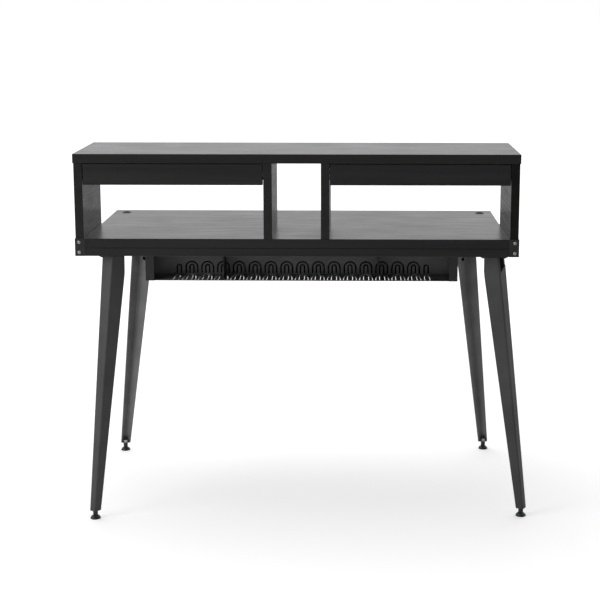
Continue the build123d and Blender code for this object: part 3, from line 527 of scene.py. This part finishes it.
def legFrame(name):
    # the leg's straight fold line and flange widths as functions of height
    leg = legs[name]
    out, inner, outer = legAxes(leg)
    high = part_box(name + "_leg")[1]
    top = high[2] - legShape["plate"]
    breakHeight = high[2] - legShape["straightTop"]
    footHeight = legShape["footHeight"]
    footLow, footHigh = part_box(name + "_foot")
    footAxis = (np.array(footLow)[:2] + np.array(footHigh)[:2]) / 2
    apexTop = np.array(leg["apex"]) * mm + deskMiddle[:2]
    apexFoot = footAxis + out * legShape["footInset"]

    def apex(z):
        share = ((top - z) / (top - footHeight))[..., None]
        return apexTop + (apexFoot - apexTop) * share

    def widths(z):
        share = np.clip((breakHeight - z) / (breakHeight - footHeight), 0, None)
        innerWidth = legShape["innerTop"] + (legShape["innerFoot"] - legShape["innerTop"]) * share
        outerWidth = legShape["outerTop"] + (legShape["outerFoot"] - legShape["outerTop"]) * share
        rise = (apex(np.full_like(z, breakHeight)) - apex(z))[..., 0] / inner[0]
        growth = (legShape["outerTop"] - legShape["outerFoot"]) / (breakHeight - footHeight)
        above = z > breakHeight
        innerWidth = np.where(above, legShape["innerTop"] + rise, innerWidth)
        outerWidth = np.where(above, legShape["outerTop"] + growth * (z - breakHeight), outerWidth)
        return innerWidth, outerWidth

    return {"out": out, "inner": inner, "outer": outer, "apex": apex, "widths": widths, "top": top,
            "break": breakHeight, "foot": footHeight, "footAxis": footAxis, "high": high[2]}


def inward(axis, out):
    # the flange's normal that points into the fold
    normal = np.array([-axis[1], axis[0]])
    return -normal if normal @ out > 0 else normal


def foldShell(shape, notch):
    # section: flange, arc of radius R about a centre on the bisector, flange; it is carried up a
    # straight line while the flanges widen, and the back is the same section one sheet further in
    half = math.radians(legShape["halfFold"])
    radius, sheet = legShape["bend"], legShape["sheet"]
    tangent = radius / math.tan(half)
    flange = np.linspace(0, 1, 9)
    swing = np.linspace(-(math.pi / 2 - half), math.pi / 2 - half, 11)[1:-1]
    columns = 2 * len(flange) + len(swing)
    tops = np.full(columns, shape["top"])
    if notch:
        reach = legShape["outerTop"] + (tangent - legShape["outerTop"]) * flange
        slope = legShape["notchRise"] / (legShape["notchReach"] - legShape["notchStart"])
        start = shape["top"] + legShape["plate"] - legShape["notchLow"]
        tops[:len(flange)] = start + np.maximum(reach - legShape["notchStart"], 0) * slope
    share = np.concatenate([np.linspace(0, 0.9, 15), [0.915, 0.93, 0.95, 0.975, 1.0]])[:, None]
    z = shape["foot"] + (tops[None, :] - shape["foot"]) * share
    apex = shape["apex"](z)
    innerWidth, outerWidth = shape["widths"](z)
    count = len(flange)
    reach = np.zeros_like(z)
    reach[:, :count] = outerWidth[:, :count] + (tangent - outerWidth[:, :count]) * flange
    reach[:, -count:] = tangent + (innerWidth[:, -count:] - tangent) * flange
    out, inner, outer = shape["out"], shape["inner"], shape["outer"]
    faces = []
    for depth in (0.0, sheet):
        point = np.empty((*z.shape, 2))
        point[:, :count] = apex[:, :count] + outer * reach[:, :count, None] + inward(outer, out) * depth
        point[:, -count:] = apex[:, -count:] + inner * reach[:, -count:, None] + inward(inner, out) * depth
        centre = apex[:, count:-count] - out * (radius / math.sin(half))
        across = np.array([-out[1], out[0]])
        if across @ inner < 0:
            across = -across
        arc = out * np.cos(swing)[:, None] + across * np.sin(swing)[:, None]
        point[:, count:-count] = centre + arc * (radius - depth)
        faces.append(np.concatenate([point, z[..., None]], -1))
    return sheetShell(*faces)


def roundedRectangle(x0, x1, y0, y1, radius):
    # straight sides with a quarter circle at each corner
    quarter = np.linspace(0, np.pi / 2, 6)
    corners = ((x1 - radius, y1 - radius, 0), (x0 + radius, y1 - radius, 1),
               (x0 + radius, y0 + radius, 2), (x1 - radius, y0 + radius, 3))
    arcs = [np.column_stack([cx + radius * np.cos(quarter + k * np.pi / 2),
                             cy + radius * np.sin(quarter + k * np.pi / 2)]) for cx, cy, k in corners]
    return np.concatenate(arcs)


def sectionCorners(shape, z, sheet):
    # ends of the two flanges and the inner corner of the fold at one height
    level = np.array([z])
    apex = shape["apex"](level)[0]
    innerWidth, outerWidth = (w[0] for w in shape["widths"](level))
    out, inner, outer = shape["out"], shape["inner"], shape["outer"]
    corner = apex - out * (sheet / math.sin(math.radians(legShape["halfFold"])))
    return (apex + inner * innerWidth + inward(inner, out) * sheet, corner,
            apex + outer * outerWidth + inward(outer, out) * sheet)


def beadShell(start, end, radius, ripples):
    # a weld bead: a tube along a line whose radius swells a little at each ripple and closes at the ends
    rows, sides = ripples * 6 + 1, 10
    along = np.linspace(0, 1, rows)
    ends = np.clip(np.minimum(along, 1 - along) * ripples, 0, 1) ** 0.5
    size = radius * (0.86 + 0.14 * np.abs(np.sin(along * ripples * np.pi))) * ends
    axis = (end - start) / np.linalg.norm(end - start)
    side = np.cross(axis, [0.0, 0.0, 1.0] if abs(axis[2]) < 0.9 else [1.0, 0.0, 0.0])
    side = side / np.linalg.norm(side)
    other = np.cross(axis, side)
    angle = np.linspace(0, 2 * np.pi, sides, endpoint=False)
    ring = np.cos(angle)[:, None] * side + np.sin(angle)[:, None] * other
    points = start + (end - start) * along[:, None, None] + ring[None] * size[:, None, None]
    return points.reshape(-1, 3), gridFaces(rows, sides, True)


def makeLeg(name):
    # folded sheet, mounting plate, closing gusset, foot plate and weld beads as one piece
    shape = legFrame(name)
    sheet = legShape["sheet"]
    points = nodePoints(name + "_leg")
    atTop = points[points[:, 2] > shape["high"] - 1e-5]
    (x0, y0), (x1, y1) = atTop[:, :2].min(0), atTop[:, :2].max(0)
    outline = roundedRectangle(x0, x1, y0, y1, legShape["plateCorner"])
    shells = [foldShell(shape, legs[name]["notch"]),
              prismShell(atHeight(outline, shape["top"]), atHeight(outline, shape["high"]))]
    gussetEnds = []
    for z in (shape["top"] - legShape["gusset"], shape["top"]):
        innerEnd, corner, outerEnd = sectionCorners(shape, z, sheet)
        ahead = shape["out"] * sheet
        gussetEnds.append(atHeight([innerEnd, outerEnd, outerEnd + ahead, innerEnd + ahead], z))
    shells.append(prismShell(*gussetEnds))
    angle = np.linspace(0, 2 * np.pi, 32, endpoint=False)
    circle = shape["footAxis"] + legShape["neck"] * np.column_stack([np.cos(angle), np.sin(angle)])
    corners = np.array(sectionCorners(shape, shape["foot"], sheet * 0.5))
    footOutline = hullOutline(np.concatenate([corners, circle]))
    footTop = shape["foot"] + sheet
    shells.append(prismShell(atHeight(footOutline, shape["foot"]), atHeight(footOutline, footTop)))
    for index in (0, 1):
        shells.append(beadShell(gussetEnds[0][index], gussetEnds[1][index], 1.5 * mm, 16))
    topEdge = gussetEnds[1]
    shells.append(beadShell(topEdge[0], topEdge[1], 1.6 * mm, 18))
    # painted light: the back legs take the coat that is paler on faces turned to the front
    finish = backLegPaintedLightCoat if legs[name]["out"] > 0 else coat
    return makePiece(name + "_foldedLeg", joinShells(shells), finish, "desk",
                     [name + "_leg"], bevel=0.5 * mm), shape


def drillHole(piece, centre, width):
    # cuts a round hole along Y; the cutter is removed once the cut is in the mesh
    bpy.ops.mesh.primitive_cylinder_add(vertices=40, radius=width / 2, depth=0.08, location=centre,
                                        rotation=(math.pi / 2, 0, 0))
    cutter = bpy.context.object
    cut = piece.modifiers.new("hole", "BOOLEAN")
    cut.object = cutter
    cut.operation = "DIFFERENCE"
    cut.solver = "EXACT"
    cut.use_self = True
    piece.modifiers.move(len(piece.modifiers) - 1, 0)
    rounding = piece.modifiers[-1]
    rounding.show_viewport = False
    result = bpy.data.meshes.new_from_object(piece.evaluated_get(bpy.context.evaluated_depsgraph_get()))
    piece.modifiers.remove(cut)
    piece.data = result
    rounding.show_viewport = True
    bpy.data.objects.remove(cutter)


for name, leg in legs.items():
    piece, shape = makeLeg(name)
    if leg["out"] > 0:
        holeX = deskMiddle[0] - leg["inner"] * legShape["holeX"]
        holeHeight = shape["high"] - legShape["holeDrop"]
        holeY = shape["apex"](np.array([holeHeight]))[0][1]
        drillHole(piece, (holeX, holeY, holeHeight), legShape["holeWidth"])
print("folded legs:", len(legs))

# black fillers in the notches as painted shade, and black plugs in the leg holes

plugShape = {
    "slack": 0.25 * mm, "below": 6.0 * mm, "shyOfEdge": 1.5 * mm, "innerShare": 0.55,
    "head": 5.6 * mm, "headHeight": 1.4 * mm, "neck": 3.3 * mm, "depth": 7.0 * mm,
    "bore": 2.6 * mm, "boreDepth": 3.0 * mm, "chamfer": 0.4 * mm, "tip": 0.8 * mm,
}


def notchShadeFill(shape):
    # painted shade: a near-black block fills the fold behind the notch, from a little below it up to the
    # mounting plate
    low = shape["high"] - legShape["notchLow"] - plugShape["below"]
    levels = np.linspace(low, shape["top"] - 0.2 * mm, 7)
    rings = []
    for z in levels:
        innerEnd, corner, outerEnd = sectionCorners(shape, z, legShape["sheet"] + plugShape["slack"])
        outerEnd = outerEnd - shape["outer"] * plugShape["shyOfEdge"]
        innerEnd = corner + (innerEnd - corner) * plugShape["innerShare"]
        rings.append(atHeight([corner, outerEnd, innerEnd], z))
    points = np.concatenate(rings)
    last = 3 * (len(levels) - 1)
    return points, gridFaces(len(levels), 3, True) + [[0, 1, 2], [last + 2, last + 1, last]]


def holePlug(shape, x, z):
    # a turned snap plug seated on the flange: rolled head, neck, and a blind bore in the middle
    leg = shape["inner"]
    level = np.array([z])
    apex = shape["apex"](level)[0]
    normal = inward(leg, shape["out"]) * legShape["sheet"]
    seat = apex + leg * ((x - apex[0] - normal[0] / 2) / leg[0]) + normal
    axis = np.array([*normal, 0.0]) / legShape["sheet"]
    head, height, neck = plugShape["head"], plugShape["headHeight"], plugShape["neck"]
    bore, depth, deep = plugShape["bore"], plugShape["depth"], plugShape["boreDepth"]
    chamfer = plugShape["chamfer"]
    bend = np.linspace(0, np.pi / 2, 7)
    radius = np.concatenate([[0.2 * neck, neck * 0.9, neck, neck, head],
                             head - height + height * np.cos(bend),
                             [bore + chamfer, bore, bore * 0.9, 0.1 * mm]])
    along = np.concatenate([[-depth, -depth, plugShape["tip"] - depth, 0.0, 0.0],
                            height * np.sin(bend),
                            [height, height - chamfer, -deep, -deep]])
    points, faces = turnedShell(radius, along, (0, 0, 0), 40)
    side = np.cross([0.0, 0.0, 1.0], axis)
    turned = (points[:, :1] * side + points[:, 1:2] * np.array([0.0, 0.0, 1.0]) + points[:, 2:3] * axis)
    return turned + np.array([seat[0], seat[1], z]), faces


for name, leg in legs.items():
    shape = legFrame(name)
    if leg["notch"]:
        # painted shade: a near-black filler behind the notch
        makePiece(name + "_notchShadeFill", notchShadeFill(shape), plugPlasticAndPaintedShade, "desk", smooth=False)
    if leg["out"] > 0:
        holeX = deskMiddle[0] - leg["inner"] * legShape["holeX"]
        makePiece(name + "_holePlug", holePlug(shape, holeX, shape["high"] - legShape["holeDrop"]),
                  plugPlasticAndPaintedShade, "desk")
print("plugs done")

# levelling feet

footShape = {
    "pad": 13.98 * mm, "padHeight": 8.0 * mm, "neckAcross": 13.0 * mm, "neckTop": 22.0 * mm,
    "stem": 4.0 * mm, "pitch": 1.25 * mm, "threadDepth": 0.55 * mm, "sides": 48,
}


def hexRipple(angle, share):
    # distance from the middle to a hexagon's side, as a part of its corner distance
    turned = np.mod(angle, np.pi / 3) - np.pi / 6
    return 1 + share * (math.cos(math.pi / 6) / np.cos(turned) - 1)


def footShells(centre, top):
    pad, high = footShape["pad"], footShape["padHeight"]
    # pad: hollow sole, rolled rim, a step and a dome that runs up to the neck
    rim = np.linspace(-np.pi / 2, np.pi / 2, 9)
    edge = (pad - 1.0 * mm + 1.0 * mm * np.cos(rim)) / pad
    radius = np.concatenate([[0.05, 0.62, 0.80, 0.88, 0.91], edge])
    height = np.concatenate([[0.7, 0.7, 0.5, 0.1, 0.0], (1.0 + 1.0 * np.sin(rim))]) * mm
    dome = np.linspace(0, 1, 14)[1:]
    radius = np.concatenate([radius, 0.93 - 0.41 * dome ** 1.4])
    height = np.concatenate([height, (2.0 * mm + (high - 2.0 * mm) * np.sin(dome * np.pi / 2) ** 0.9)])
    shells = [turnedShell(radius * pad, height, centre, footShape["sides"])]
    # neck: a hexagon with chamfered corners
    corner = footShape["neckAcross"] / 2
    neckTop = footShape["neckTop"]
    levels = np.array([high - 1.5 * mm, high + 0.6 * mm, neckTop - 1.2 * mm, neckTop])
    share = np.array([1.0, 1.0, 1.0, 0.25])[:, None]
    sizes = np.array([1.0, 1.0, 1.0, 0.90]) * corner
    shells.append(turnedShell(sizes, levels, centre, footShape["sides"],
                              lambda row, angle: hexRipple(angle, share[row[:, 0]])))
    # stem: a screw thread, r = R - depth |saw(z / pitch - a / 2 pi)|
    rows = int((top - footShape["neckTop"]) / footShape["pitch"] * 8)
    stemZ = np.linspace(footShape["neckTop"] - 0.5 * mm, top, rows)
    fade = np.clip((top - stemZ) / (1.2 * mm), 0, 1)[:, None]

    def thread(row, angle):
        phase = np.mod(stemZ[row[:, 0]][:, None] / footShape["pitch"] - angle / (2 * np.pi), 1.0)
        cut = footShape["threadDepth"] * np.abs(2 * phase - 1)
        return 1 - (cut + 0.5 * mm * (1 - fade) ** 2) / footShape["stem"]

    shells.append(turnedShell(np.full(rows, footShape["stem"]), stemZ, centre, 36, thread))
    return shells


for name in legs:
    low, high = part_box(name + "_foot")
    centre = ((low[0] + high[0]) / 2, (low[1] + high[1]) / 2, 0.0)
    makePiece(name + "_levellingFoot", joinShells(footShells(centre, high[2])), footPlastic,
              name + "_foot_body", [name + "_foot"])
print("levelling feet:", len(legs))

# silver screws in the corner covers

screwShape = {
    "head": 4.5 * mm, "height": 2.4 * mm, "armWidth": 1.25 * mm, "armLength": 2.9 * mm,
    "recess": 1.5 * mm,
}


def screwHeadShell(centre):
    # head: y = -H (1 - r^3)^(1/2) with a cross sunk into it, on a grid of radius and angle
    share = np.concatenate([[0.02], np.linspace(0.06, 0.94, 26), [0.97, 0.99, 1.0]])[:, None]
    angle = np.linspace(0, 2 * np.pi, 96, endpoint=False)[None, :]
    x, z = share * screwShape["head"] * np.cos(angle), share * screwShape["head"] * np.sin(angle)
    dome = screwShape["height"] * np.sqrt(1 - share ** 3)

    def step(value, edge):
        return np.clip((edge - np.abs(value)) / (0.25 * mm) + 0.5, 0, 1)

    arms = np.maximum(step(x, screwShape["armWidth"] / 2) * step(z, screwShape["armLength"]),
                      step(z, screwShape["armWidth"] / 2) * step(x, screwShape["armLength"]))
    taper = 1 - 0.55 * share * screwShape["head"] / screwShape["armLength"]
    y = -(dome - screwShape["recess"] * arms * np.clip(taper, 0, 1))
    y = np.minimum(y, 0.0)
    points = np.stack([x, y, z], -1).reshape(-1, 3)
    rows, columns = share.shape[0], angle.shape[1]
    middle = [[0, -(screwShape["height"] - screwShape["recess"]), 0], [0, 0, 0]]
    points = np.concatenate([points, middle]) + np.asarray(centre)
    faces = gridFaces(rows, columns, True)
    first, last = rows * columns, (rows - 1) * columns
    faces += [[first, (i + 1) % columns, i] for i in range(columns)]
    faces += [[first + 1, last + i, last + (i + 1) % columns] for i in range(columns)]
    return points, faces


low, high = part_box("corner_screws")
seatY = low[1] + screwShape["height"]
heads = [screwHeadShell((x, seatY, z)) for x in (low[0] + screwShape["head"], high[0] - screwShape["head"])
         for z in (low[2] + screwShape["head"], high[2] - screwShape["head"])]
makePiece("cornerScrewHeads", joinShells(heads), nickel, "desk", ["corner_screws"])
print("corner screws:", len(heads))

# pale rims beside the tray floor's slots: painted light, standing in for the lit slot edges and the light
# seen through the slots

rimShape = {
    "pitch": 46.0 * mm, "count": 15, "outer": 38.0 * mm, "inner": 16.0 * mm, "tall": 82.0 * mm,
    "innerDrop": 9.0 * mm, "endPitch": 36.8 * mm, "stretch": 3.6, "margin": 5.0 * mm,
    "wire": 0.8 * mm, "sheet": 1.5 * mm, "beside": 0.9 * mm,
}


def rimPath(centre, width, tall, front, level):
    # up one side, over x = a cos t, y = stretch a sin t, and down the other side
    half = width / 2 + rimShape["beside"]
    straight = tall - rimShape["stretch"] * width / 2
    crown = np.linspace(0, np.pi, 33)
    x = np.concatenate([[half], half * np.cos(crown), [-half]])
    y = np.concatenate([[0.0], straight + rimShape["stretch"] * half * np.sin(crown), [0.0]])
    return np.column_stack([centre + x, front + y, np.full(len(x), level)])


def tubeShell(path, radius, sides=8):
    # a round wire along a path: rings square to the path's direction, with a flat cap on each end
    step = np.gradient(path, axis=0)
    step /= np.linalg.norm(step, axis=1)[:, None]
    up = np.broadcast_to([0.0, 0.0, 1.0], step.shape)
    across = np.cross(step, up)
    angle = np.linspace(0, 2 * np.pi, sides, endpoint=False)
    ring = (np.cos(angle)[None, :, None] * across[:, None]
            + np.sin(angle)[None, :, None] * up[:, None])
    points = path[:, None] + radius * ring
    faces = gridFaces(len(path), sides, True)
    last = (len(path) - 1) * sides
    faces += [list(range(sides))[::-1], [last + i for i in range(sides)]]
    return points.reshape(-1, 3), faces


trayLow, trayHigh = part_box("cable_tray")
trayMiddle = (trayLow[0] + trayHigh[0]) / 2
rimLevel = trayLow[2] + rimShape["sheet"] + rimShape["wire"] * 0.6
rimFront = trayLow[1] + rimShape["margin"]
columns = (np.arange(rimShape["count"]) - (rimShape["count"] - 1) / 2) * rimShape["pitch"]
ends = (columns[0] - rimShape["endPitch"], columns[-1] + rimShape["endPitch"])
innerTall = rimShape["tall"] - rimShape["innerDrop"]
rimPaths = [rimPath(trayMiddle + x, rimShape["outer"], rimShape["tall"], rimFront, rimLevel)
            for x in columns]
rimPaths += [rimPath(trayMiddle + x, rimShape["inner"], innerTall, rimFront, rimLevel)
             for x in (*columns, *ends)]
rims = [tubeShell(path, rimShape["wire"]) for path in rimPaths]
makePiece("traySlotPaintedLightRims", joinShells(rims), rimPaintedLightCoat, "desk")
print("tray rims:", len(rims))

# grommets of the cable holes

grommetShape = {
    "flange": 13.0 * mm, "bore": 9.0 * mm, "sleeve": 11.0 * mm, "flangeHeight": 1.5 * mm,
    "flangeBend": 1.2 * mm, "lipBend": 1.0 * mm, "sides": 72,
}


def grommetShell(centre, low, high):
    # a closed ring section turned round the hole: rounded flange above, chamfered sleeve below
    flange, bore, sleeve = grommetShape["flange"], grommetShape["bore"], grommetShape["sleeve"]
    seat = high - grommetShape["flangeHeight"]
    big, small = grommetShape["flangeBend"], grommetShape["lipBend"]
    bend = np.linspace(0, np.pi / 2, 7)
    outer = np.column_stack([flange - big + big * np.cos(bend), high - big + big * np.sin(bend)])
    lip = np.column_stack([bore + small - small * np.sin(bend), high - small + small * np.cos(bend)])
    foot = [[bore, low + 0.4 * mm], [bore + 0.4 * mm, low], [sleeve - 0.6 * mm, low],
            [sleeve, low + 0.8 * mm], [sleeve, seat], [flange, seat]]
    section = np.concatenate([outer, lip, foot])
    angle = np.linspace(0, 2 * np.pi, grommetShape["sides"], endpoint=False)
    x = centre[0] + section[:, 0] * np.cos(angle)[:, None]
    y = centre[1] + section[:, 0] * np.sin(angle)[:, None]
    z = np.broadcast_to(section[:, 1], x.shape)
    points = np.stack([x, y, z], -1)
    wrapped = np.concatenate([points, points[:1]])
    return wrapped.reshape(-1, 3), gridFaces(len(angle) + 1, len(section), True)


for side in ("left", "right"):
    low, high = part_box(side + "_grommet")
    centre = ((low[0] + high[0]) / 2, (low[1] + high[1]) / 2)
    makePiece(side + "_cableRing", grommetShell(centre, low[2], high[2]), grommetPlastic, "desk",
              [side + "_grommet"])
print("grommets done")

# floor, light and camera

studio = {
    "floorTone": (0.80, 0.80, 0.80),
    "bounceLeft": 1.0, "bounceRight": 0.66,
    "glowNear": 0.30, "glowFar": 0.60,
    "backLight": 1.05, "frontLight": 0.24, "leftLift": 0.10, "seenLight": 1.0,
    "camera": (0.127, -3.7575, 1.348), "tilt": 10.305, "turn": 0.937,
    "lens": 82.63, "sensor": 36.0, "shift": (-0.05, -0.08),
}


def makeFloor():
    # a flat disc of rings round the desk, z = 0; seen directly it glows towards white, and the
    # light that it bounces onto the desk is weaker and falls off to the right
    size = np.array([0.02, 1.0, 3.0, 8.0, 30.0, 90.0])
    angle = np.linspace(0, 2 * np.pi, 64, endpoint=False)
    points = np.stack([size[:, None] * np.cos(angle), size[:, None] * np.sin(angle),
                       np.zeros((len(size), len(angle)))], -1).reshape(-1, 3)
    faces = gridFaces(len(size), len(angle), True)
    faces.append(list(range(len(angle))))
    mesh = bpy.data.meshes.new("floor")
    mesh.from_pydata(points.tolist(), [], faces)
    floor = bpy.data.objects.new("floor", mesh)
    bpy.context.scene.collection.objects.link(floor)
    surface = {"Roughness": 0.9, "Specular IOR Level": 0.1}
    material, tree, shader, place = startMaterial("paleFloor", surface)
    tone = noise(tree, place, 1.6, 2.0)
    bright = tuple(min(c * 1.02, 1.0) for c in studio["floorTone"])
    seen = addNode(tree, "ShaderNodeLightPath").outputs["Is Camera Ray"]
    sideways = addNode(tree, "ShaderNodeSeparateXYZ", {0: place}).outputs["X"]
    bounce = rampValue(tree, sideways, -1.8, 1.6, studio["bounceLeft"], studio["bounceRight"])
    bounce = math2(tree, "MAXIMUM", bounce, seen)
    plain = mixColour(tree, tone, studio["floorTone"], bright)
    tree.links.new(mixColour(tree, bounce, (0, 0, 0), plain), shader.inputs["Base Color"])
    shader.inputs["Emission Color"].default_value = (1, 1, 1, 1)
    away = addNode(tree, "ShaderNodeVectorMath", {0: place}, operation="LENGTH").outputs["Value"]
    glow = rampValue(tree, away, 0.8, 3.5, studio["glowNear"], studio["glowFar"])
    tree.links.new(math2(tree, "MULTIPLY", glow, seen), shader.inputs["Emission Strength"])
    mesh.materials.append(material)


def makeWorld():
    # seen directly it is plain white; as light it is strongest from behind and from the left
    world = bpy.data.worlds.new("studio")
    bpy.context.scene.world = world
    world.use_nodes = True
    tree = world.node_tree
    surface = tree.nodes["Background"]
    direction = addNode(tree, "ShaderNodeTexCoord").outputs["Generated"]
    parts = addNode(tree, "ShaderNodeSeparateXYZ", {0: direction})
    towards = rampValue(tree, parts.outputs["Y"], -0.75, 0.35, studio["frontLight"], studio["backLight"])
    leftwards = rampValue(tree, parts.outputs["X"], -0.9, 0.9, studio["leftLift"], -studio["leftLift"])
    towards = math2(tree, "ADD", towards, leftwards)
    seen = addNode(tree, "ShaderNodeLightPath").outputs["Is Camera Ray"]
    strength = math2(tree, "ADD", math2(tree, "MULTIPLY", seen, studio["seenLight"]),
                     math2(tree, "MULTIPLY", math2(tree, "SUBTRACT", 1.0, seen), towards))
    surface.inputs["Color"].default_value = (1, 1, 1, 1)
    tree.links.new(strength, surface.inputs["Strength"])


def addArea(name, place, target, size, power):
    light = bpy.data.lights.new(name, "AREA")
    light.shape = "RECTANGLE"
    light.size, light.size_y = size
    light.energy = power
    lamp = bpy.data.objects.new(name, light)
    bpy.context.scene.collection.objects.link(lamp)
    lamp.location = place
    aim = np.array(target) - np.array(place)
    tilt = math.atan2(math.hypot(aim[0], aim[1]), -aim[2])
    lamp.rotation_euler = (tilt, 0, math.atan2(aim[1], aim[0]) - math.pi / 2)


makeFloor()
makeWorld()
addArea("overhead", (-0.6, 0.4, 3.6), (0, 0, 0.7), (3.2, 2.4), 42)
addArea("leftKey", (-3.6, -2.4, 2.2), (0, 0, 0.5), (1.8, 1.8), 52)

lens = bpy.data.cameras.new("view")
lens.lens, lens.sensor_width = studio["lens"], studio["sensor"]
lens.shift_x, lens.shift_y = studio["shift"]
camera = bpy.data.objects.new("view", lens)
bpy.context.scene.collection.objects.link(camera)
camera.location = studio["camera"]
camera.rotation_euler = (math.radians(90 - studio["tilt"]), 0, math.radians(studio["turn"]))
bpy.context.scene.camera = camera
bpy.context.scene.view_settings.view_transform = "Standard"
print("floor, light and camera set")
